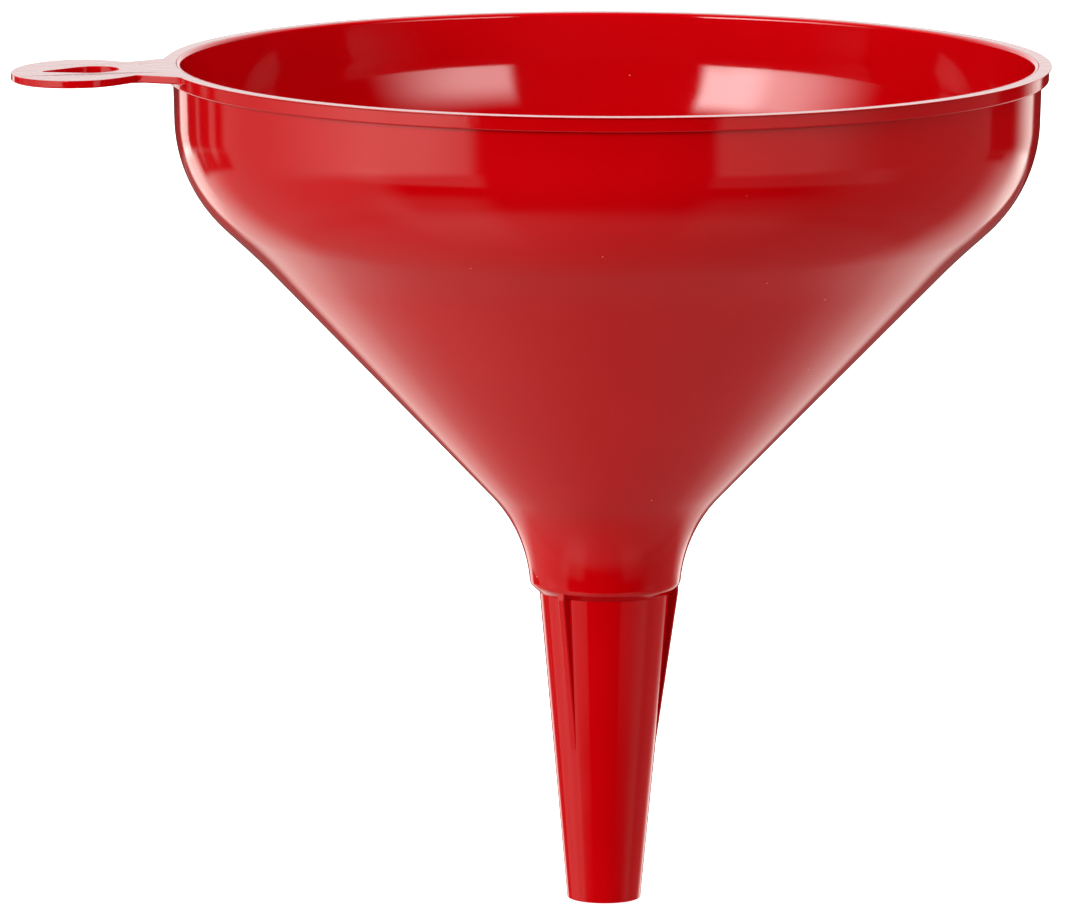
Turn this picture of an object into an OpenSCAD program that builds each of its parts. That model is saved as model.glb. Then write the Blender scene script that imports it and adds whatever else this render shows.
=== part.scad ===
// Household funnel: a shallow round bowl on a 44 degree cone, a stepped collar and a
// tapered spout, with a flat flange and a hanging tab at the rim and three vent ribs
// under the collar. Millimetres, +Z up, the axis of the funnel on Z, and the origin in
// the middle of the spout's open tip. The tab points along -X.
//
// The real funnel is one moulding. Each region of it is a closed solid of its own here,
// and neighbouring regions meet face to face on cuts made across the wall.

/* [Rim] */
// Outer diameter of the flange, over the thin lip along its upper edge
flange_d = 150; // [149.5:0.5:156]
// Thickness of the flange
flange_t = 2.5; // [2:0.1:4]
// How far that lip stands out over the flange's side
edge_lip = 0.45; // [0.1:0.05:0.6]
// Thickness of the lip at its edge
edge_lip_t = 0.15; // [0.1:0.05:0.3]
// How much smaller the side is at its foot than under the lip, on the radius
flange_draft = 0.05; // [0:0.05:0.2]
// Rounding of the side's lower edge
edge_r = 0.3; // [0.1:0.05:0.4]
// Rounding of the flange's inner edge, round the mouth
mouth_round = 0.7; // [0.3:0.05:1]

/* [Bowl and cone] */
// Wall thickness of the whole moulding
wall = 1.4; // [1:0.1:1.8]
// Outer radius of the bowl where it meets the flange
bowl_r = 73.3; // [73:0.1:73.4]
// Outer radius of the bowl's side at the shoulder corner, before it is rounded
shoulder_r = 72.8; // [72.4:0.1:73]
// Depth of the shoulder corner below the rim
shoulder_depth = 20.3; // [19:0.1:20.6]
// Rounding of the shoulder, outside
shoulder_round = 25; // [18:0.5:27]
// Rounding of the shoulder, inside
shoulder_round_in = 30; // [20:0.5:33]
// Outer radius at the top of the cone
cone_r = 59.4; // [58.9:0.1:60]
// Depth of the top of the cone below the rim
cone_depth = 32.6; // [32.3:0.1:33.5]
// Rounding between shoulder and cone, outside
cone_round = 110; // [60:1:120]

/* [Throat and collar] */
// Outer radius of the collar at its upper corner, before it is rounded
throat_r = 13.9; // [13.7:0.1:14.2]
// Depth of that corner below the rim
throat_depth = 79.8; // [79:0.1:80]
// Rounding from the cone into the collar, outside
throat_round = 24.5; // [16:0.5:25]
// Outer radius of the collar at its lip
lip_r = 12.8; // [12.5:0.1:12.9]
// Depth of the lip below the rim
lip_depth = 89.2; // [89.1:0.1:91]
// Rounding of the lip
lip_round = 1.5; // [0.5:0.1:1.6]

/* [Spout] */
// Outer radius of the spout where it leaves the collar
spout_r = 11.2; // [10.8:0.05:11.4]
// Outer radius of the spout at its tip
tip_r = 6.25; // [5:0.05:8]
// Length of the spout below the collar
spout_len = 53.1; // [40:0.1:70]
// Drop of the collar's underside from the lip in to the spout
lip_drop = 1.4; // [1:0.1:1.6]

/* [Vent ribs] */
// Angle from the hanging tab to the first rib
rib_phase = 45; // [0:1:119]
// Width of a rib
rib_w = 1.3; // [0.8:0.1:2]
// Height of a rib at the collar
rib_h = 1.3; // [0.8:0.1:1.4]
// Length of a rib, down to where it runs out
rib_len = 26.5; // [15:0.5:35]

/* [Hanging tab] */
// Thickness of the tab
tab_t = 1.3; // [1:0.1:2]
// Droop of the tab below level, in degrees
tab_droop = 1.2; // [0:0.1:4]
// Distance from the funnel's axis to the widest place of the tab's eye
eye_at = 89; // [88:0.1:92]
// Half width of the eye at its widest place
eye_r = 14.8; // [13:0.1:16]
// Distance from the funnel's axis to the end of the tab
tab_end = 100.8; // [99:0.1:104]
// Distance from the funnel's axis to the neck, where the tab is narrowest
neck_at = 80.6; // [79:0.1:82]
// Half width of the neck
neck_w = 9.3; // [8:0.1:10]
// Half width of the tab where it meets the flange
root_w = 13; // [11:0.1:14]
// Distance from the funnel's axis to the round end of the hanging hole
hole_at = 87.2; // [86.5:0.1:88]
// Radius of the hanging hole's round end
hole_r = 4.5; // [3.5:0.1:5]
// Distance from the funnel's axis to the narrow end of the hole
hole_tip_at = 94.6; // [93:0.1:95.5]
// Radius of the hole's narrow end
hole_tip_r = 0.9; // [0.6:0.1:2]

/* [Hidden] */
rib_count = 3;                              // one node each
$fn = 120;
rim_z = lip_depth + lip_drop + spout_len;   // height of the flange's top above the tip
flange_r = flange_d / 2;
side_r = flange_r - edge_lip;               // the flange's side, under its lip
inner_lip_round = 0.3;                      // inside of the lip's corner
inner_crease_round = 0.6;                   // inside edge where the spout starts
root_fillet = 2.2;                          // in plan, where the tab leaves the flange

// Corners of the outer wall, from the flange down to the tip, as [radius, height]
top = [bowl_r, rim_z - flange_t];
shoulder = [shoulder_r, rim_z - shoulder_depth];
cone_top = [cone_r, rim_z - cone_depth];
throat = [throat_r, rim_z - throat_depth];
lip = [lip_r, rim_z - lip_depth];
crease = [spout_r, spout_len];
tip = [tip_r, 0];

// --- plane geometry ---------------------------------------------------------
function unit(v) = v / norm(v);
function inward(v) = [v[1], -v[0]];         // right-hand normal of a downward run
function reversed(a) = [for (i = [len(a) - 1:-1:0]) a[i]];

// Where the line through p along u meets the line through q along v
function meet(p, u, q, v) = p + u * cross(q - p, v) / cross(u, v);

// Corner p of the run a-p-b, moved to the inner face of the wall
function inner(a, p, b) =
    let (u = unit(p - a), v = unit(b - p))
    meet(p + wall * inward(u), u, p + wall * inward(v), v);

// Points of an arc of radius r that rounds corner p of the run a-p-b, in n steps
function rounded(a, p, b, r, n) =
    let (u = unit(a - p), v = unit(b - p), half = acos(u * v) / 2,
         c = p + unit(u + v) * r / sin(half),
         s = p + u * r / tan(half) - c,
         from = atan2(s[1], s[0]),
         turn = (cross(u, v) > 0 ? -1 : 1) * (180 - 2 * half))
    [for (i = [0:n]) c + r * [cos(from + turn * i / n), sin(from + turn * i / n)]];

// Inner corners of the same wall
shoulder_in = inner(top, shoulder, cone_top);
cone_top_in = inner(shoulder, cone_top, throat);
throat_in = inner(cone_top, throat, lip);
lip_in = inner(throat, lip, crease);
crease_in = inner(lip, crease, tip);
side = unit(shoulder - top);                // direction of the bowl's side wall
top_in = meet(shoulder_in, side, top, [1, 0]);
mouth = meet(shoulder_in, side, [0, rim_z], [1, 0]);
spout_dir = unit(tip - crease);
spout_top_in = meet(crease_in, spout_dir, crease, [1, 0]);
tip_in = meet(crease_in, spout_dir, tip, [1, 0]);

// Roundings, outside and inside
shoulder_arc = rounded(top, shoulder, cone_top, shoulder_round, 12);
shoulder_arc_in = rounded(top_in, shoulder_in, cone_top_in, shoulder_round_in, 12);
cone_arc = rounded(shoulder, cone_top, throat, cone_round, 3);
cone_arc_in = rounded(shoulder_in, cone_top_in, throat_in, cone_round + wall, 3);
throat_arc = rounded(cone_top, throat, lip, throat_round, 10);
throat_arc_in = rounded(cone_top_in, throat_in, lip_in, throat_round + wall, 10);
lip_arc = rounded(throat, lip, crease, lip_round, 6);
lip_arc_in = rounded(throat_in, lip_in, crease_in, inner_lip_round, 3);
crease_arc_in = rounded(lip_in, crease_in, tip_in, inner_crease_round, 4);

// The flange's edge from its top down: the lip, then the side and its foot
edge_run = [[flange_r, rim_z], [flange_r, rim_z - edge_lip_t],
            [side_r, rim_z - 2 * edge_lip_t], [side_r - flange_draft, rim_z - flange_t]];

// --- regions of revolution --------------------------------------------------
module turned(points) { rotate_extrude() polygon(points); }

module rim_flange() {
    color("#c8101a") turned(concat(
        rounded(top_in, mouth, edge_run[0], mouth_round, 5),
        [edge_run[0], edge_run[1], edge_run[2]],
        rounded(edge_run[2], edge_run[3], top, edge_r, 4), [top, top_in]));
}

module bowl_side() {
    color("#c00c16") turned([top, shoulder_arc[0], shoulder_arc_in[0], top_in]);
}

module bowl_shoulder() {
    color("#bd0a14") turned(concat(
        shoulder_arc, cone_arc, reversed(cone_arc_in), reversed(shoulder_arc_in)));
}

module cone_wall() {
    last = len(cone_arc) - 1;
    color("#b50810") turned([cone_arc[last], throat_arc[0],
                             throat_arc_in[0], cone_arc_in[last]]);
}

module throat_collar() {
    color("#ab060e") turned(concat(
        throat_arc, lip_arc, [crease, spout_top_in],
        reversed(crease_arc_in), reversed(lip_arc_in), reversed(throat_arc_in)));
}

module spout_tube() {
    color("#a3040c") turned([crease, tip, tip_in, spout_top_in]);
}

// --- vent ribs --------------------------------------------------------------
// Space taken by the collar and the spout, which a rib fits against
module collar_and_spout() {
    turned(concat([[0, throat[1]]], [throat], lip_arc, [crease, tip, [0, 0]]));
}

module vent_rib(i) {
    foot = crease + unit(tip - crease) * rib_len;
    deep = [wall, 0];                       // how far a rib starts inside the wall
    color("#b00a12") difference() {
        rotate([0, 0, 180 + rib_phase + i * 360 / rib_count])
            rotate([90, 0, 0]) translate([0, 0, -rib_w / 2])
                linear_extrude(rib_w) polygon([
                    crease + [rib_h, lip_drop], crease + [rib_h, 0],
                    foot, foot - deep, crease - deep, crease - deep + [0, lip_drop]]);
        collar_and_spout();
    }
}

module vent_rib_1() { vent_rib(0); }
module vent_rib_2() { vent_rib(1); }
module vent_rib_3() { vent_rib(2); }

// --- hanging tab ------------------------------------------------------------
// Plan of the tab with x outwards from the funnel's axis: a flared root, a neck, and an
// eye whose sides swing out from the neck and close in a blunt oval end
module tab_plan() {
    start = side_r - 5;
    // half width of the eye a little way out, u = 0 at the neck and 1 at the end
    function eye_half(x) = x < eye_at
        ? neck_w + (eye_r - neck_w) * sin(90 * (x - neck_at) / (eye_at - neck_at))
        : eye_r * sqrt(1 - pow((x - eye_at) / (tab_end - eye_at), 2.2));
    rise = [for (i = [0:6]) let (x = neck_at + (eye_at - neck_at) * i / 6)
            [x, eye_half(x)]];
    fall = [for (i = [1:14])
            let (x = eye_at + (tab_end - eye_at) * sin(90 * i / 14)) [x, eye_half(x)]];
    side = concat([[start, root_w + root_fillet], [flange_r - 0.6, root_w]], rise, fall);
    polygon(concat(side, [for (p = reversed(side)) [p[0], -p[1]]]));
}

// Teardrop hole: a round end near the funnel that narrows to a small one
module hole_plan() {
    gap = hole_tip_at - hole_at;
    lean = acos((hole_r - hole_tip_r) / gap);
    out = [cos(lean), sin(lean)];
    translate([hole_at, 0]) circle(hole_r);
    translate([hole_tip_at, 0]) circle(hole_tip_r);
    polygon([[hole_at, 0] + hole_r * out, [hole_tip_at, 0] + hole_tip_r * out,
             [hole_tip_at, 0] + hole_tip_r * [out[0], -out[1]],
             [hole_at, 0] + hole_r * [out[0], -out[1]]]);
}

module hanging_tab() {
    color("#c41019") difference() {
        mirror([1, 0, 0])
            translate([flange_r, 0, rim_z]) rotate([0, tab_droop, 0])
                translate([-flange_r, 0, -tab_t]) linear_extrude(tab_t)
                    difference() { tab_plan(); hole_plan(); }
        rim_and_inside();
    }
}

// The flange's edge and all that is inside it, which the tab's root fits against
module rim_and_inside() {
    turned(concat([[0, rim_z + 1], [flange_r, rim_z + 1]], edge_run, [[0, edge_run[3][1]]]));
}

rim_flange();
hanging_tab();
bowl_side();
bowl_shoulder();
cone_wall();
throat_collar();
spout_tube();
vent_rib_1();
vent_rib_2();
vent_rib_3();
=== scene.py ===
"""Red moulded funnel: bowl, cone, stepped collar, tapered spout, hanging tab, vent ribs."""

import math

import bpy
import numpy as np
from mathutils import Matrix, Vector
from mathutils.geometry import tessellate_polygon


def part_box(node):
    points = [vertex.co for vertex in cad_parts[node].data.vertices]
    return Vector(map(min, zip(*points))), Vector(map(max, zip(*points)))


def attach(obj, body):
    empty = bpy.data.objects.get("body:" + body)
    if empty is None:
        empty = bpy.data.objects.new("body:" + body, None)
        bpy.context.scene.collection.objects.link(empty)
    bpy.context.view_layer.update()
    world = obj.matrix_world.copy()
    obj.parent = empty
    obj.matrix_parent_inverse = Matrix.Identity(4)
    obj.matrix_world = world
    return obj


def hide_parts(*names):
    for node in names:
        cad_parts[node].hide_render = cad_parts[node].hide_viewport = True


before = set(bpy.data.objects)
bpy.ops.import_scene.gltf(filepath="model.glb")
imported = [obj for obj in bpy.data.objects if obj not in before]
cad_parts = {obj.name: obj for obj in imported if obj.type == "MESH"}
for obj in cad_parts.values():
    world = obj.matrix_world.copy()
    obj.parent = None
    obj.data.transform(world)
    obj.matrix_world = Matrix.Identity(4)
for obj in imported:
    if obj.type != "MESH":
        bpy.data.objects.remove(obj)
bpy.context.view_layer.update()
MM = 0.001


def P(*xy):
    """A point or a direction in the plane."""
    return np.array(xy, float)


# --- dimensions in millimetres and degrees, from the CAD nodes and the part's design ---
rim_lo, rim_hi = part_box("rim_flange")
RIM_Z = rim_hi.z / MM               # the flange's top
FLANGE_R = rim_hi.x / MM
FLANGE_T = RIM_Z - rim_lo.z / MM
EDGE_LIP, EDGE_LIP_T, EDGE_DRAFT = 0.45, 0.15, 0.05
EDGE_R = 0.3                        # lower edge of the flange's side
LIP_EDGE_R = 0.06                   # upper edge of the flange's lip
SHARP_EDGE_R = 0.003                # the same edge across the tab's root
MOUTH_R = 0.7                       # inner edge of the flange
GROOVE_W, GROOVE_DEPTH = 0.16, 0.1  # hairline groove where that rounding starts
SIDE_R = FLANGE_R - EDGE_LIP
SPOUT_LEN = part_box("spout_tube")[1].z / MM
SPOUT_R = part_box("spout_tube")[1].x / MM
TIP_R = 6.25
WALL = 1.4
TIP_EDGE_R = 0.15
SEGMENTS = 384                      # round the axis
ROW, SPOUT_ROW = 1.5, 2             # height of one row of faces
SHOULDER_SIDES, CONE_SIDES, THROAT_SIDES, LIP_SIDES = 36, 8, 28, 10
EDGE_SIDES, FLANGE_EDGE_SIDES, CREASE_SIDES, MOUTH_SIDES = 4, 5, 5, 8

TOP = P(73.3, RIM_Z - FLANGE_T)
SHOULDER, SHOULDER_ROUND, SHOULDER_ROUND_IN = P(72.8, RIM_Z - 20.3), 25.0, 30.0
CONE_TOP, CONE_ROUND = P(59.4, RIM_Z - 32.6), 110.0
THROAT, THROAT_ROUND = P(13.9, RIM_Z - 79.8), 24.5
LIP, LIP_ROUND, LIP_ROUND_IN = P(12.8, RIM_Z - 89.2), 1.5, 0.3
CREASE, CREASE_ROUND_IN = P(SPOUT_R, SPOUT_LEN), 0.6
TIP = P(TIP_R, 0.0)

RIB_W, RIB_H, RIB_LEN, RIB_EDGE_R = 1.3, 1.3, 26.5, 0.22
RIB_COUNT, RIB_PHASE = 3, 45.0      # the phase is from the tab to the first rib
RIB_ROOT = 0.9                      # how far a rib reaches into the spout's wall
RIB_TOP = 1.4                       # how far it reaches up into the collar
RIB_ROWS = 12

TAB_T = 1.3
TAB_SAG = 0.6                       # how far the tab's end hangs below level
EYE_AT, EYE_R, TAB_END = 89.0, 14.8, 100.8  # along the tab, from the funnel's axis
EYE_POWER = 2.2                     # how square the eye's end is, 2 being an ellipse
NECK_AT, NECK_W, ROOT_W = 80.6, 9.3, 13.0
ROOT_FILLET = 2.4
ROOT_INSET = 0.6                    # where the root's straight edge aims, inside the flange
ROOT_OVERRUN = 0.25                 # radians that the fillet runs on into the flange's side
ROOT_DEPTH, ROOT_DEPTH_TOP = 1.2, 0.03  # how far the root reaches into the flange
ROOT_SPAN, ROOT_FADE = 14.0, 1.5    # degrees either side of the tab with a sharp lip
HOLE_AT, HOLE_R, HOLE_TIP_AT, HOLE_TIP_R = 87.2, 4.5, 94.6, 0.9
TAB_TOP_EDGE_R, TAB_FOOT_EDGE_R = 0.12, 0.25
FILLET_SIDES, ROOT_SIDES, RISE_SIDES, FALL_SIDES = 8, 16, 24, 48
HOLE_SIDES, HOLE_TIP_SIDES = 48, 16


# --- plane geometry ------------------------------------------------------------
def unit(v):
    """v at length 1."""
    return v / np.linalg.norm(v)


def cross(a, b):
    """Over 0 where b points to the left of a."""
    return a[0] * b[1] - a[1] * b[0]


def meet(p, u, q, v):
    """Where the line through p along u meets the line through q along v."""
    return p + u * cross(q - p, v) / cross(u, v)


def inward(v):
    """Across v, to its right."""
    return P(v[1], -v[0])


def inner(a, p, b):
    """Corner p of the run a-p-b, moved to the inner face of the wall."""
    u, v = unit(p - a), unit(b - p)
    return meet(p + WALL * inward(u), u, p + WALL * inward(v), v)


def rounded(a, p, b, r, n):
    """Points of the arc of radius r that rounds corner p of the run a-p-b."""
    u, v = unit(a - p), unit(b - p)
    half = math.acos(float(u @ v)) / 2
    c = p + unit(u + v) * r / math.sin(half)
    s = p + u * r / math.tan(half) - c
    start = math.atan2(s[1], s[0])
    turn = (-1 if cross(u, v) > 0 else 1) * (math.pi - 2 * half)
    return [c + r * P(math.cos(start + turn * i / n), math.sin(start + turn * i / n))
            for i in range(n + 1)]


SHOULDER_IN = inner(TOP, SHOULDER, CONE_TOP)
CONE_TOP_IN = inner(SHOULDER, CONE_TOP, THROAT)
THROAT_IN = inner(CONE_TOP, THROAT, LIP)
LIP_IN = inner(THROAT, LIP, CREASE)
CREASE_IN = inner(LIP, CREASE, TIP)
SIDE = unit(SHOULDER - TOP)
LEVEL = P(1, 0)
TOP_IN = meet(SHOULDER_IN, SIDE, TOP, LEVEL)
MOUTH = meet(SHOULDER_IN, SIDE, P(0, RIM_Z), LEVEL)
SPOUT_DIR = unit(TIP - CREASE)
SPOUT_TOP_IN = meet(CREASE_IN, SPOUT_DIR, CREASE, LEVEL)
TIP_IN = meet(CREASE_IN, SPOUT_DIR, TIP, LEVEL)


# --- outlines and the meshes made from them -----------------------------------------
class Outline:
    """A closed outline walked with the solid on the left. Each side keeps the surface
    normals at its two ends, so that arcs shade as true curves."""

    def __init__(self, start):
        self.points, self.sides = [np.array(start, float)], []

    def side(self, q, n0, n1):
        """One side to q, with the normals at its start and its end."""
        self.points.append(np.array(q, float))
        self.sides.append((n0, n1))

    def line(self, q, step=None):
        """A straight run to q, cut into sides of about step."""
        p = self.points[-1]
        d = np.array(q, float) - p
        n = 1 if step is None else max(1, round(np.linalg.norm(d) / step))
        normal = unit(P(d[1], -d[0]))
        for i in range(1, n + 1):
            self.side(p + d * i / n, normal, normal)
        return self

    def arc(self, pts, step=None):
        """A run of points on a circle, reached by a straight line if it starts elsewhere."""
        a, b, c = pts[0], pts[len(pts) // 2], pts[-1]
        m = np.array([b - a, c - a])
        centre = np.linalg.solve(m, np.array([(b @ b - a @ a) / 2, (c @ c - a @ a) / 2]))
        if np.linalg.norm(self.points[-1] - a) > 1e-6:
            self.line(a, step)
        sign = 1 if cross(b - a, c - b) > 0 else -1
        for p, q in zip(pts[:-1], pts[1:]):
            self.side(q, sign * unit(p - centre), sign * unit(q - centre))
        return self

    def curve(self, pts):
        """A smooth run of points, with normals from its own tangents."""
        if np.linalg.norm(self.points[-1] - pts[0]) > 1e-6:
            self.line(pts[0])
        run = np.array(pts)
        tangent = np.gradient(run, axis=0)
        normal = [unit(P(t[1], -t[0])) for t in tangent]
        for i in range(1, len(run)):
            self.side(run[i], normal[i - 1], normal[i])
        return self

    def close(self, step=None):
        """A straight run back to the start, if the outline isn't there yet."""
        if np.linalg.norm(self.points[-1] - self.points[0]) > 1e-6:
            self.line(self.points[0], step)
        self.points.pop()
        return self


def finish_mesh(name, verts, faces, normals):
    """A smooth mesh with one normal for each corner of each face."""
    mesh = bpy.data.meshes.new(name)
    mesh.from_pydata(np.asarray(verts).tolist(), [], faces)
    mesh.polygons.foreach_set("use_smooth", [True] * len(faces))
    mesh.update()
    mesh.normals_split_custom_set(normals)
    return mesh


def lathe(name, outline, other=None, share=None):
    """Turns a closed outline about the Z axis. Where share(angle) is over 0, the outline
    goes over to the other one, which has as many points."""
    other = other or outline
    angle = np.arange(SEGMENTS) * 2 * math.pi / SEGMENTS
    c, s = np.cos(angle), np.sin(angle)
    w = np.array([share(a) if share else 0.0 for a in angle])
    a_pts, b_pts = np.array(outline.points), np.array(other.points)
    pts = (a_pts[:, None, :] * (1 - w)[None, :, None] + b_pts[:, None, :] * w[None, :, None])
    verts = np.stack([pts[..., 0] * c, pts[..., 0] * s, pts[..., 1]], -1).reshape(-1, 3) * MM
    faces, normals = [], []
    for i, (side_a, side_b) in enumerate(zip(outline.sides, other.sides)):
        j = (i + 1) % len(a_pts)
        for k in range(SEGMENTS):
            m = (k + 1) % SEGMENTS
            faces.append((i * SEGMENTS + k, i * SEGMENTS + m,
                          j * SEGMENTS + m, j * SEGMENTS + k))
            for end, q in ((0, k), (0, m), (1, m), (1, k)):
                n = unit(side_a[end] * (1 - w[q]) + side_b[end] * w[q])
                normals.append((n[0] * c[q], n[0] * s[q], n[1]))
    return finish_mesh(name, verts, faces, normals)


def add(name, mesh, node, material):
    """Puts a mesh into the scene in place of a CAD node."""
    obj = bpy.data.objects.new(name, mesh)
    bpy.context.scene.collection.objects.link(obj)
    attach(obj, "root")
    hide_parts(node)
    obj.data.materials.append(material)
    return obj


# --- shader helper ---------------------------------------------------------------
class Graph:
    """Short names for the nodes of one node tree."""

    def __init__(self, tree):
        self.tree = tree

    def node(self, kind, **settings):
        """A new node, with its settings."""
        n = self.tree.nodes.new(kind)
        for key, value in settings.items():
            setattr(n, key, value)
        return n

    def put(self, socket, value):
        """Links or sets an input."""
        if isinstance(value, bpy.types.NodeSocket):
            self.tree.links.new(value, socket)
        else:
            socket.default_value = value

    def math(self, operation, *values):
        n = self.node("ShaderNodeMath", operation=operation)
        for socket, value in zip(n.inputs, values):
            self.put(socket, value)
        return n.outputs[0]

    def ramp(self, value, a, b, lo=0.0, hi=1.0, kind="SMOOTHSTEP"):
        """Goes from lo to hi while value goes from a to b."""
        n = self.node("ShaderNodeMapRange", interpolation_type=kind)
        for key, v in (("Value", value), ("From Min", a), ("From Max", b),
                       ("To Min", lo), ("To Max", hi)):
            self.put(n.inputs[key], v)
        return n.outputs["Result"]

    def noise(self, vector, scale, detail, roughness=0.5):
        n = self.node("ShaderNodeTexNoise")
        self.put(n.inputs["Vector"], vector)
        for key, v in (("Scale", scale), ("Detail", detail), ("Roughness", roughness)):
            n.inputs[key].default_value = v
        return n.outputs["Fac"]

    def scaled(self, vector, xyz):
        n = self.node("ShaderNodeVectorMath", operation="MULTIPLY")
        self.put(n.inputs[0], vector)
        n.inputs[1].default_value = xyz
        return n.outputs[0]

    def mix(self, factor, a, b):
        """Colour a where factor is 0, b where it is 1."""
        n = self.node("ShaderNodeMix", data_type="RGBA")
        self.put(n.inputs["Factor"], factor)
        self.put(n.inputs[6], a)
        self.put(n.inputs[7], b)
        return n.outputs[2]


# --- material -------------------------------------------------------------------
RED, RED_CLOUD = (0.44, 0.0, 0.0018, 1), (0.46, 0.0005, 0.0026, 1)
RED_PAINTED_SHADE = (0.2, 0.0, 0.001, 1)    # painted shade: a darker red for level faces, which the lamp above lights most
DUST = (0.75, 0.35, 0.33, 1)
LEVEL_FROM, LEVEL_TO = 0.9, 0.98    # Z of the normal where a face starts to count as level
# noise cells for each millimetre
CLOUD_SCALE, DUST_CELL_SCALE, DUST_PATCH_SCALE = 0.05, 0.22, 0.1
FINE_SCALE, RIPPLE_SCALE, PEBBLE_SCALE = 1.4, 0.06, 0.55
NOISE_LOW, NOISE_HIGH = 0.3, 0.7    # the range that most of a noise lies in
DUST_CORE, DUST_EDGE = 0.02, 0.035  # a speck's radius, as a share of its cell
DUST_PATCH_FROM, DUST_PATCH_TO = 0.5, 0.56  # the noise over which a speck shows
DUST_TONE, DUST_ROUGH = 0.5, 0.3
ROUGH_LOW, ROUGH_HIGH = 0.045, 0.075
# heights in millimetres
RIPPLE_H, FINE_H, DUST_H, PEBBLE_H = 0.030, 0.0007, 0.02, 0.07
PEBBLE_UPRIGHT = 0.3                # share of the pebbles left on upright faces
IOR = 1.5


def red_plastic(name, pebbled_with_painted_shade):
    """Glossy moulded plastic: slow ripples of the mould, a fine skin and a few dust
    specks. The rim's version adds the skin of the flange's and the tab's level faces,
    and paints shade on those faces with a darker red."""
    mat = bpy.data.materials.new(name)
    mat.use_nodes = True
    g = Graph(mat.node_tree)
    b = mat.node_tree.nodes["Principled BSDF"]
    at = g.scaled(g.node("ShaderNodeTexCoord").outputs["Object"], (1 / MM, 1 / MM, 1 / MM))

    cloud = g.noise(at, CLOUD_SCALE, 2)
    tone = g.mix(g.ramp(cloud, NOISE_LOW, NOISE_HIGH), RED, RED_CLOUD)
    cell = g.node("ShaderNodeTexVoronoi", feature="F1")
    g.put(cell.inputs["Vector"], at)
    cell.inputs["Scale"].default_value = DUST_CELL_SCALE
    speck = g.math("MULTIPLY", g.ramp(cell.outputs["Distance"], DUST_CORE, DUST_EDGE, 1, 0),
                   g.ramp(g.noise(at, DUST_PATCH_SCALE, 0), DUST_PATCH_FROM, DUST_PATCH_TO))
    tone = g.mix(g.math("MULTIPLY", speck, DUST_TONE), tone, DUST)
    if pebbled_with_painted_shade:
        normal = g.node("ShaderNodeSeparateXYZ")
        g.put(normal.inputs[0], g.node("ShaderNodeNewGeometry").outputs["Normal"])
        up = normal.outputs["Z"]
        # painted shade: level faces take the darker red, to hold back the lamp above, which
        # lights them most
        tone = g.mix(g.ramp(up, LEVEL_FROM, LEVEL_TO), tone, RED_PAINTED_SHADE)
    g.put(b.inputs["Base Color"], tone)

    fine = g.noise(at, FINE_SCALE, 3, 0.6)
    ripple = g.noise(at, RIPPLE_SCALE, 1)
    rough = g.math("ADD", g.ramp(fine, NOISE_LOW, NOISE_HIGH, ROUGH_LOW, ROUGH_HIGH),
                   g.math("MULTIPLY", speck, DUST_ROUGH))
    g.put(b.inputs["Roughness"], rough)
    b.inputs["IOR"].default_value = IOR

    height = g.math("ADD", g.math("MULTIPLY", ripple, RIPPLE_H), g.math("MULTIPLY", fine, FINE_H))
    height = g.math("ADD", height, g.math("MULTIPLY", speck, DUST_H))
    if pebbled_with_painted_shade:
        face = g.ramp(up, LEVEL_FROM, LEVEL_TO, PEBBLE_UPRIGHT, 1)
        pebble = g.math("MULTIPLY", g.noise(at, PEBBLE_SCALE, 4, 0.65), face)
        height = g.math("ADD", height, g.math("MULTIPLY", pebble, PEBBLE_H))
    bump = g.node("ShaderNodeBump")
    bump.inputs["Distance"].default_value = MM
    bump.inputs["Strength"].default_value = 1.0
    g.put(bump.inputs["Height"], height)
    g.put(b.inputs["Normal"], bump.outputs["Normal"])
    return mat


BODY = red_plastic("red_plastic_gloss", False)
RIM = red_plastic("red_plastic_rim", True)

# --- the turned pieces ------------------------------------------------------------
shoulder_arc = rounded(TOP, SHOULDER, CONE_TOP, SHOULDER_ROUND, SHOULDER_SIDES)
shoulder_arc_in = rounded(TOP_IN, SHOULDER_IN, CONE_TOP_IN, SHOULDER_ROUND_IN,
                          SHOULDER_SIDES)
cone_arc = rounded(SHOULDER, CONE_TOP, THROAT, CONE_ROUND, CONE_SIDES)
cone_arc_in = rounded(SHOULDER_IN, CONE_TOP_IN, THROAT_IN, CONE_ROUND + WALL, CONE_SIDES)
throat_arc = rounded(CONE_TOP, THROAT, LIP, THROAT_ROUND, THROAT_SIDES)
throat_arc_in = rounded(CONE_TOP_IN, THROAT_IN, LIP_IN, THROAT_ROUND + WALL, THROAT_SIDES)
lip_arc = rounded(THROAT, LIP, CREASE, LIP_ROUND, LIP_SIDES)
lip_arc_in = rounded(THROAT_IN, LIP_IN, CREASE_IN, LIP_ROUND_IN, EDGE_SIDES)
crease_arc_in = rounded(LIP_IN, CREASE_IN, TIP_IN, CREASE_ROUND_IN, CREASE_SIDES)


def rim_outline(lip_edge):
    """Walked outwards along the flange's foot, up its side, over its top and down the
    inside of the wall."""
    foot = P(SIDE_R - EDGE_DRAFT, RIM_Z - FLANGE_T)
    under = P(SIDE_R, RIM_Z - 2 * EDGE_LIP_T)
    lip_low, lip_high = P(FLANGE_R, RIM_Z - EDGE_LIP_T), P(FLANGE_R, RIM_Z)
    mouth_arc = rounded(lip_high, MOUTH, TOP_IN, MOUTH_R, MOUTH_SIDES)
    groove = mouth_arc[0] + P(GROOVE_W / 2, -GROOVE_DEPTH)
    o = Outline(TOP)
    o.arc(rounded(TOP, foot, under, EDGE_R, FLANGE_EDGE_SIDES)).line(under).line(lip_low)
    o.arc(rounded(lip_low, lip_high, MOUTH, lip_edge, EDGE_SIDES))
    o.line(mouth_arc[0] + P(GROOVE_W, 0)).line(groove).line(mouth_arc[0]).arc(mouth_arc)
    return o.line(TOP_IN).close()


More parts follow.
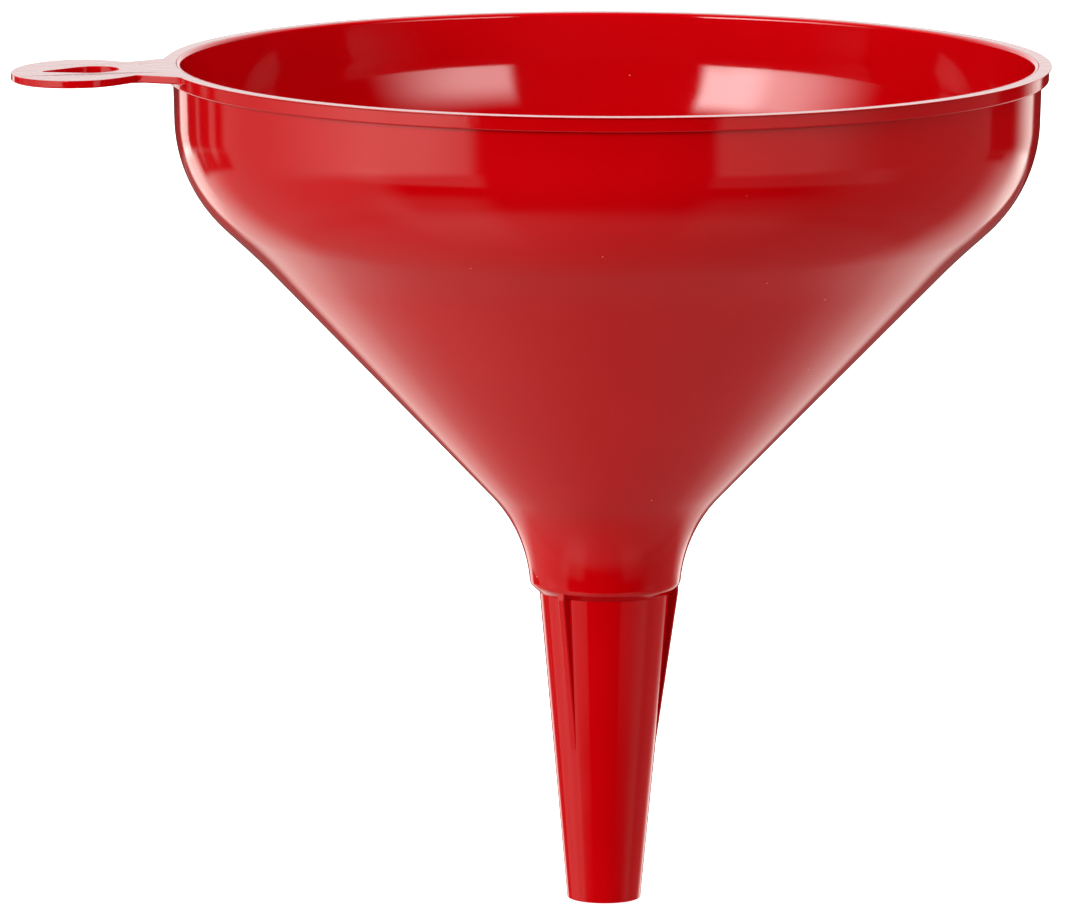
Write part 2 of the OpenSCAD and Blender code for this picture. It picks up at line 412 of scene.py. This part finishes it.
def at_tab(angle):
    """1 where the tab joins the flange, so that no edge shows across its root."""
    off = abs(math.degrees(angle) - 180)
    return min(1.0, max(0.0, (ROOT_SPAN - off) / ROOT_FADE))


def rim_flange():
    return lathe("rim_flange_moulding", rim_outline(LIP_EDGE_R), rim_outline(SHARP_EDGE_R),
                 at_tab)


def bowl_side():
    o = Outline(shoulder_arc[0]).line(TOP, ROW).line(TOP_IN)
    return lathe("bowl_side_wall", o.line(shoulder_arc_in[0], ROW).close())


def bowl_shoulder():
    o = Outline(cone_arc[-1]).arc(cone_arc[::-1]).arc(shoulder_arc[::-1], ROW)
    o.line(shoulder_arc_in[0]).arc(shoulder_arc_in).arc(cone_arc_in, ROW).close()
    return lathe("bowl_shoulder_wall", o)


def cone_wall():
    o = Outline(throat_arc[0]).line(cone_arc[-1], ROW).line(cone_arc_in[-1])
    return lathe("cone_wall_shell", o.line(throat_arc_in[0], ROW).close())


def throat_collar():
    o = Outline(CREASE).line(lip_arc[-1]).arc(lip_arc[::-1]).arc(throat_arc[::-1])
    o.line(throat_arc_in[0]).arc(throat_arc_in)
    o.arc(lip_arc_in).arc(crease_arc_in).line(SPOUT_TOP_IN).close()
    return lathe("throat_collar_ring", o)


def spout_tube():
    tip_edge = rounded(TIP_IN, TIP, CREASE, TIP_EDGE_R, EDGE_SIDES)
    o = Outline(tip_edge[0]).arc(tip_edge).line(CREASE, SPOUT_ROW).line(SPOUT_TOP_IN)
    o.arc(rounded(SPOUT_TOP_IN, TIP_IN, TIP, TIP_EDGE_R, EDGE_SIDES), SPOUT_ROW).close()
    return lathe("spout_tube_wall", o)


for build in (rim_flange, bowl_side, bowl_shoulder, cone_wall, throat_collar, spout_tube):
    made = build()
    add(made.name, made, build.__name__, RIM if build is rim_flange else BODY)


# --- the hanging tab ----------------------------------------------------------------
def tab_outline():
    """Plan of the tab, x outwards from the axis, walked counterclockwise from the root's
    end on the -y side. The last ROOT_SIDES sides lie inside the flange."""
    neck = P(NECK_AT, NECK_W)
    root = P(FLANGE_R - ROOT_INSET, ROOT_W)
    along = unit(neck - root)
    out = P(-along[1], along[0])
    centre, reach = root + ROOT_FILLET * out, FLANGE_R + ROOT_FILLET
    t = -centre @ along + math.sqrt((centre @ along) ** 2 - centre @ centre + reach ** 2)
    centre = centre + along * t
    first, last = centre * FLANGE_R / reach, centre - ROOT_FILLET * out
    a0 = math.atan2(*(first - centre)[::-1])
    a1 = math.atan2(*(last - centre)[::-1])
    a0 += 2 * math.pi if a0 < 0 else 0
    a1 += 2 * math.pi if a1 < 0 else 0
    a0 -= ROOT_OVERRUN
    fillet = []
    for i in range(FILLET_SIDES + 1):
        a = a0 + (a1 - a0) * i / FILLET_SIDES
        fillet.append(centre + ROOT_FILLET * P(math.cos(a), math.sin(a)))
    eye = []
    for i in range(RISE_SIDES + 1):
        u = i / RISE_SIDES
        eye.append(P(NECK_AT + (EYE_AT - NECK_AT) * u,
                     NECK_W + (EYE_R - NECK_W) * math.sin(math.pi / 2 * u)))
    for i in range(1, FALL_SIDES + 1):
        s = math.sin(math.pi / 2 * i / FALL_SIDES)
        eye.append(P(EYE_AT + (TAB_END - EYE_AT) * s,
                     EYE_R * math.sqrt(max(0.0, 1 - s ** EYE_POWER))))
    mirror = P(1, -1)
    o = Outline(fillet[0] * mirror)
    o.arc([p * mirror for p in fillet])
    o.curve([p * mirror for p in eye] + eye[-2::-1])
    o.arc(fillet[::-1])
    root_r, half = np.linalg.norm(fillet[0]), math.atan2(fillet[0][1], fillet[0][0])
    root_arc = []
    for i in range(ROOT_SIDES + 1):
        a = half * (1 - 2 * i / ROOT_SIDES)
        root_arc.append(root_r * P(math.cos(a), math.sin(a)))
    o.arc(root_arc)
    o.points.pop()
    return o


def hole_outline():
    """Teardrop with its round end towards the funnel, walked clockwise."""
    lean = math.acos((HOLE_R - HOLE_TIP_R) / (HOLE_TIP_AT - HOLE_AT))
    big = [P(HOLE_AT + HOLE_R * math.cos(a), HOLE_R * math.sin(a))
           for a in np.linspace(lean, 2 * math.pi - lean, HOLE_SIDES + 1)]
    small = [P(HOLE_TIP_AT + HOLE_TIP_R * math.cos(a), HOLE_TIP_R * math.sin(a))
             for a in np.linspace(-lean, lean, HOLE_TIP_SIDES + 1)]
    return Outline(big[-1]).arc(big[::-1]).arc(small[::-1]).close()


def ring_offset(outline, off):
    """The outline's points moved into the solid by off."""
    pts, count, moved = outline.points, len(outline.points), []
    for i in range(count):
        a, b = outline.sides[i - 1][1], outline.sides[i][0]
        m = unit(a + b)
        moved.append(pts[i] - m * off / max(0.5, float(m @ a)))
    return moved


def hanging_tab():
    """The tab's rounded edges, ring by ring from the top face to the lower one, round its
    plan and round its hole, and the two faces between them."""
    outer = tab_outline()
    # each ring's edge radius, its normal's rise in degrees, and the lower face's height
    steps = [(TAB_TOP_EDGE_R, 90 - 30 * i, None) for i in range(4)]
    steps += [(TAB_FOOT_EDGE_R, -22.5 * i, -TAB_T) for i in range(5)]
    verts, faces, normals = [], [], []

    def slope(x):
        """The tab's fall at x, as it bends under its own weight."""
        return 2 * TAB_SAG * max(0.0, x - FLANGE_R) / (TAB_END - FLANGE_R) ** 2

    def place(x, y, z):
        """From the flat tab to the sagging one, in the funnel's frame."""
        return (-x * MM, y * MM, (RIM_Z + z - slope(x) * (x - FLANGE_R) / 2) * MM)

    def turn(nx, ny, nz, x):
        """A normal of the flat tab, turned with the sagging one."""
        t = math.atan(slope(x))
        return (-(nx * math.cos(t) + nz * math.sin(t)), ny, -nx * math.sin(t) + nz * math.cos(t))

    caps = {0: [], len(steps) - 1: []}
    for outline in (outer, hole_outline()):
        count, base = len(outline.points), len(verts)
        for k, (r, beta, foot) in enumerate(steps):
            b = math.radians(beta)
            off = r * (1 - math.cos(b))
            z = -r * (1 - math.sin(b)) if foot is None else foot + r * (1 + math.sin(b))
            ring = ring_offset(outline, off)
            if outline is outer:
                depth = ROOT_DEPTH_TOP if k == 0 else ROOT_DEPTH
                for i in list(range(count - ROOT_SIDES, count)) + [0]:
                    ring[i] = unit(ring[i]) * (FLANGE_R - depth)
            verts += [place(p[0], p[1], z) for p in ring]
            if k in caps:
                caps[k].append((base + k * count, ring))
        for k in range(len(steps) - 1):
            b0, b1 = math.radians(steps[k][1]), math.radians(steps[k + 1][1])
            for i in range(count):
                j = (i + 1) % count
                n0, n1 = outline.sides[i]
                faces.append((base + k * count + i, base + k * count + j,
                              base + (k + 1) * count + j, base + (k + 1) * count + i))
                for n, b, q in ((n0, b0, i), (n1, b0, j), (n1, b1, j), (n0, b1, i)):
                    normals.append(turn(n[0] * math.cos(b), n[1] * math.cos(b), math.sin(b),
                                        outline.points[q][0]))
    for k, rings in caps.items():
        flat = [[Vector((p[0], p[1], 0)) for p in ring] for _, ring in rings]
        index = [first + i for first, ring in rings for i in range(len(ring))]
        plan = [p for _, ring in rings for p in ring]
        up = 1 if k == 0 else -1
        for t in tessellate_polygon(flat):
            a, b, c = (plan[i] for i in t)
            # the mirror in place() turns the winding over
            if cross(b - a, c - a) * up > 0:
                t = t[::-1]
            faces.append(tuple(index[i] for i in t))
            normals += [turn(0, 0, up, plan[i][0]) for i in t]
    return finish_mesh("hanging_tab_eye", verts, faces, normals)


add("hanging_tab_eye", hanging_tab(), "hanging_tab", RIM)


# --- the vent ribs --------------------------------------------------------------------
def vent_rib(name, plan_angle):
    """A fin under the collar whose outer edge tapers into the spout. Its section, across
    the rib and outwards, is the same all the way, with its outer corners rounded."""
    foot = CREASE + SPOUT_DIR * RIB_LEN
    corner = CREASE[0] + RIB_H
    levels = [(corner, SPOUT_LEN + RIB_TOP), (corner, SPOUT_LEN)]
    levels += [(corner + (foot[0] - corner) * i / RIB_ROWS,
                SPOUT_LEN + (foot[1] - SPOUT_LEN) * i / RIB_ROWS)
               for i in range(1, RIB_ROWS + 1)]
    slope = math.atan2(corner - foot[0], SPOUT_LEN - foot[1])
    w = RIB_W / 2

    def section(out):
        back = out - RIB_H - RIB_ROOT
        left, right = P(-w, out), P(w, out)
        o = Outline(P(w, back))
        o.arc(rounded(P(w, back), right, left, RIB_EDGE_R, EDGE_SIDES))
        o.arc(rounded(right, left, P(-w, back), RIB_EDGE_R, EDGE_SIDES))
        return o.line(P(-w, back)).close()

    c, s = math.cos(plan_angle), math.sin(plan_angle)

    def to_frame(across, out, z):
        return (out * c - across * s, out * s + across * c, z)

    verts, faces, normals = [], [], []
    sections = [section(r) for r, _ in levels]
    count = len(sections[0].points)
    for o, (_, z) in zip(sections, levels):
        verts += [tuple(v * MM for v in to_frame(-p[0], p[1], z)) for p in o.points]
    for k in range(len(levels) - 1):
        tilt = 0.0 if k == 0 else slope
        for i, (n0, n1) in enumerate(sections[0].sides):
            j = (i + 1) % count
            faces.append((k * count + i, (k + 1) * count + i,
                          (k + 1) * count + j, k * count + j))
            for n in (n0, n0, n1, n1):
                x, y, _ = to_frame(-n[0], n[1] * math.cos(tilt), 0)
                normals.append((x, y, -max(0.0, n[1]) * math.sin(tilt)))
    last = (len(levels) - 1) * count
    faces.append(tuple(range(count)))
    normals += [(0, 0, 1)] * count
    faces.append(tuple(last + i for i in reversed(range(count))))
    normals += [(0, 0, -1)] * count
    return finish_mesh(name, verts, faces, normals)


for i in range(RIB_COUNT):
    plan_angle = math.pi + math.radians(RIB_PHASE + 360 / RIB_COUNT * i)
    name = f"vent_rib_fin_{i + 1}"
    add(name, vent_rib(name, plan_angle), f"vent_rib_{i + 1}", BODY)

# --- camera, at the photograph's viewing angle ------------------------------------
CAMERA_SIDE = 262.0                 # plan angle from the axis to the camera, degrees
CAMERA_RISE = 6.908                 # its elevation over the rim's plane
CAMERA_DISTANCE = 1.65
PITCH, YAW, ROLL = 9.2257, -0.432, 0.17
LENS = 329.86

side, rise = math.radians(CAMERA_SIDE), math.radians(CAMERA_RISE)
toward_camera = Vector((math.cos(side), math.sin(side), 0))
camera_at = Vector((0, 0, RIM_Z * MM)) + CAMERA_DISTANCE * (
    toward_camera * math.cos(rise) + Vector((0, 0, math.sin(rise))))
heading = side + math.pi - math.radians(YAW)
pitch, roll = math.radians(PITCH), math.radians(ROLL)
look = Vector((math.cos(heading) * math.cos(pitch), math.sin(heading) * math.cos(pitch),
               -math.sin(pitch)))
right = look.cross(Vector((0, 0, 1))).normalized()
up = right.cross(look)
right, up = (right * math.cos(roll) + up * math.sin(roll),
             up * math.cos(roll) - right * math.sin(roll))
cam = bpy.data.cameras.new("camera")
cam.lens, cam.sensor_width, cam.sensor_fit = LENS, 36.0, "HORIZONTAL"
cam.clip_start, cam.clip_end = 0.05, 50
camera = bpy.data.objects.new("camera", cam)
camera.matrix_world = Matrix((
    (right.x, up.x, -look.x, camera_at.x), (right.y, up.y, -look.y, camera_at.y),
    (right.z, up.z, -look.z, camera_at.z), (0, 0, 0, 1)))
bpy.context.scene.collection.objects.link(camera)
bpy.context.scene.camera = camera

# --- floor -----------------------------------------------------------------------
FLOOR_R, FLOOR_DROP, FLOOR_SIDES = 6.0, 0.0004, 96
disc = [(FLOOR_R * math.cos(a), FLOOR_R * math.sin(a), -FLOOR_DROP)
        for a in np.linspace(0, 2 * math.pi, FLOOR_SIDES, endpoint=False)]
floor_mesh = bpy.data.meshes.new("floor")
floor_mesh.from_pydata(disc, [], [tuple(range(FLOOR_SIDES))])
floor = bpy.data.objects.new("floor", floor_mesh)
bpy.context.scene.collection.objects.link(floor)
floor_mat = bpy.data.materials.new("floor")
floor_mat.use_nodes = True
fb = floor_mat.node_tree.nodes["Principled BSDF"]
fb.inputs["Base Color"].default_value = (0.9, 0.9, 0.9, 1)
fb.inputs["Roughness"].default_value = 0.6
fb.inputs["Emission Color"].default_value = (1, 1, 1, 1)
fb.inputs["Emission Strength"].default_value = 1.0
floor_mesh.materials.append(floor_mat)
# the studio's light also comes from below, off the table that the sky map paints
floor.visible_glossy = floor.visible_diffuse = floor.visible_shadow = False

# --- light: a studio painted on the sky, by direction ------------------------------
# Angles in degrees: round the object from the camera, positive to the camera's right,
# and up from level. A panel fades in from a to b and out from c to d.
# (round a, b, c, d), (up a, b, c, d), strength, tilt, tilt centre
PANELS = [
    ((-84, -46, -29, -25), (-8, 12, 26, 38), 8.0, 0, 0),            # left softbox
    ((-50, -40, -29, -25), (-8, 12, 26, 38), 5.0, 0, 0),
    ((25, 29, 38, 72), (-8, 8, 14, 33), 7.0, 0, 0),                 # right softbox
    ((-112, -40, -38, -33), (-16, -8, 2, 14), 1.90, 0.17, -45),     # glow under the left one
    ((27, 31, 52, 82), (-14, -10.5, 0, 8), 0.62, 0, 0),             # and the right one
    ((-181, -180, 180, 181), (-95, -94, -50, -32), 0.28, 0, 0),     # table
    ((-181, -180, -68, -56), (-44, -36, -3, 0), 0.42, 0, 0),
    ((48, 80, 181, 182), (-44, -36, -3, 0), 0.18, 0, 0),
    ((-82, -58, -42, -28), (-72, -44, -33, -25), 0.32, 0, 0),       # boxes seen in the table
    ((22, 34, 50, 72), (-66, -44, -33, -25), 0.14, 0, 0),
    ((-181, -180, -150, -127), (-60, -24, -14, -9), 0.80, 0, 0),    # bright table behind
    ((122, 148, 181, 182), (-60, -24, -17, -10), 0.95, 0, 0),
    ((-160, -157, -149, -146), (-26, -17, -11, -9.5), 0.65, 0, 0),
    ((138, 152, 158, 161), (-26, -18, -12, -10), 0.80, 0, 0),
    ((-80, -60, -36, -31), (-22, -19.5, -14, -9), 0.50, 0, 0),      # lower glows
    ((26, 30, 75, 90), (-22, -19.5, -14, -11), 0.20, 0, 0),
    ((-159, -156.5, -150, -148), (-13, -11, -1, 0), 1.35, 0, 0),    # strips beside the gap
    ((136, 152, 154, 157), (-17, -11, -1, 0), 1.5, 0, 0),
    ((-181, -180, -145, -105), (-1.5, 1.5, 50, 80), 1.35, 0, 0),    # white backdrop
    ((105, 145, 180, 181), (-1.5, 1.5, 50, 80), 1.35, 0, 0),
]
# dark flats that stand before all of these, with how much of the light they stop
FLATS = [
    ((-149.5, -147.5, -125, -121), (-12.5, -10, -1.5, 0), 0.97),
    ((-146.5, -143, -124, -119), (-18.5, -16, -12.5, -10), 0.93),
    ((121, 124, 135, 143), (-12, -9.5, -1.5, 0), 0.95),
    ((120, 124, 131, 137), (-14.5, -12, -12, -9.5), 0.90),
    ((156, 158.5, 180, 181), (-14, -11, -1.5, 0), 0.90),
    ((-181, -180, -160, -157.5), (-12, -10, -1.5, 0), 0.90),
    ((157, 160, 180, 181), (-26, -20, -14, -11), 0.90),
    ((-181, -180, -161.5, -158.5), (-26, -20, -12, -10), 0.90),
]
# thin gaps between the flats on the left
SLITS = [((-142, -140.3, -139.5, -137.5), 0.22), ((-132.5, -130.5, -129.5, -126.5), 0.34)]
SLITS_UP = (-17, -11, -1.5, 0)
TABLE_LEFT = 0.20                   # how much brighter the near table is on the left
TABLE_LEFT_SIDE, TABLE_LEFT_UP = (0.05, -0.5), (-36, -44)
TINT_UP = (-4, 1)                   # where the table's tint gives way to the sky's
TABLE_TINT, SKY_TINT = (1.0, 1.0, 0.93, 1), (1.0, 0.97, 0.96, 1)
SECOND_BOUNCE = 0.35                # share of the sky left after two bounces
# soft lamps that light the plastic without showing in its gloss, each a metre away:
# name, angle round, angle up, watts
FILLS = [("fill_below", 180, -65, 5.2), ("fill_left", -130, -25, 7.5),
         ("fill_right", 125, -25, 8.5), ("fill_high", 80, 60, 3.0), ("fill_above", 0, 90, 6.6)]
FILL_SIZE, FILL_AIM = 0.9, 0.09     # the lamps' width, and the height they look at

world = bpy.data.worlds.new("studio")
bpy.context.scene.world = world
world.use_nodes = True
w = Graph(world.node_tree)
away = w.node("ShaderNodeSeparateXYZ")
w.put(away.inputs[0], w.node("ShaderNodeTexCoord").outputs["Generated"])
x, y, z = away.outputs


def along(direction):
    """How far the sky's direction goes that way, from -1 to 1."""
    return w.math("ADD", w.math("MULTIPLY", x, direction[0]), w.math("MULTIPLY", y, direction[1]))


DEGREES = 180 / math.pi
to_right = (-toward_camera[1], toward_camera[0])
azimuth = w.math("MULTIPLY", w.math("ARCTAN2", along(to_right), along(toward_camera)), DEGREES)
elevation = w.math("MULTIPLY", w.math("ARCSINE", z), DEGREES)


def band(value, a, b, c, d):
    """Fades in from a to b and out from c to d."""
    return w.math("MULTIPLY", w.ramp(value, a, b), w.ramp(value, c, d, 1, 0))


total = 0.0
for around, upward, strength, tilt, centre in PANELS:
    level = elevation
    if tilt:
        level = w.math("SUBTRACT", elevation,
                       w.math("MULTIPLY", w.math("SUBTRACT", azimuth, centre), tilt))
    panel = w.math("MULTIPLY", band(azimuth, *around), band(level, *upward))
    total = w.math("ADD", total, w.math("MULTIPLY", panel, strength))
leftward = w.math("MULTIPLY", w.ramp(along(to_right), *TABLE_LEFT_SIDE),
                  w.ramp(elevation, *TABLE_LEFT_UP))
total = w.math("ADD", total, w.math("MULTIPLY", leftward, TABLE_LEFT))
for around, upward, stops in FLATS:
    shade = w.math("MULTIPLY", band(azimuth, *around), band(elevation, *upward))
    total = w.math("MULTIPLY", total, w.ramp(shade, 0, 1, 1, 1 - stops, "LINEAR"))
for around, bright in SLITS:
    slit = w.math("MULTIPLY", band(azimuth, *around), band(elevation, *SLITS_UP))
    total = w.math("ADD", total, w.math("MULTIPLY", slit, bright))
# the sky's Ray Depth is 2 after one bounce and 3 after two
path = w.node("ShaderNodeLightPath").outputs
total = w.math("MULTIPLY", total, w.ramp(path["Ray Depth"], 2, 3, 1, SECOND_BOUNCE, "LINEAR"))
# the camera itself sees plain white
sees = path["Is Camera Ray"]
total = w.math("ADD", sees, w.math("MULTIPLY", total, w.math("SUBTRACT", 1.0, sees)))
w.put(world.node_tree.nodes["Background"].inputs["Strength"], total)
tint = w.mix(w.ramp(elevation, *TINT_UP), TABLE_TINT, SKY_TINT)
w.put(world.node_tree.nodes["Background"].inputs["Color"], w.mix(sees, tint, (1, 1, 1, 1)))

for name, around, upward, power in FILLS:
    lamp = bpy.data.lights.new(name, "AREA")
    lamp.shape, lamp.size, lamp.energy = "DISK", FILL_SIZE, power
    fill = bpy.data.objects.new(name, lamp)
    a, e = side + math.radians(around), math.radians(upward)
    away_from = Vector((math.cos(a) * math.cos(e), math.sin(a) * math.cos(e), math.sin(e)))
    fill.location = Vector((0, 0, FILL_AIM)) + away_from
    fill.rotation_euler = away_from.to_track_quat("Z", "Y").to_euler()
    fill.visible_glossy = fill.visible_camera = False
    bpy.context.scene.collection.objects.link(fill)

bpy.context.scene.view_settings.view_transform = "Standard"
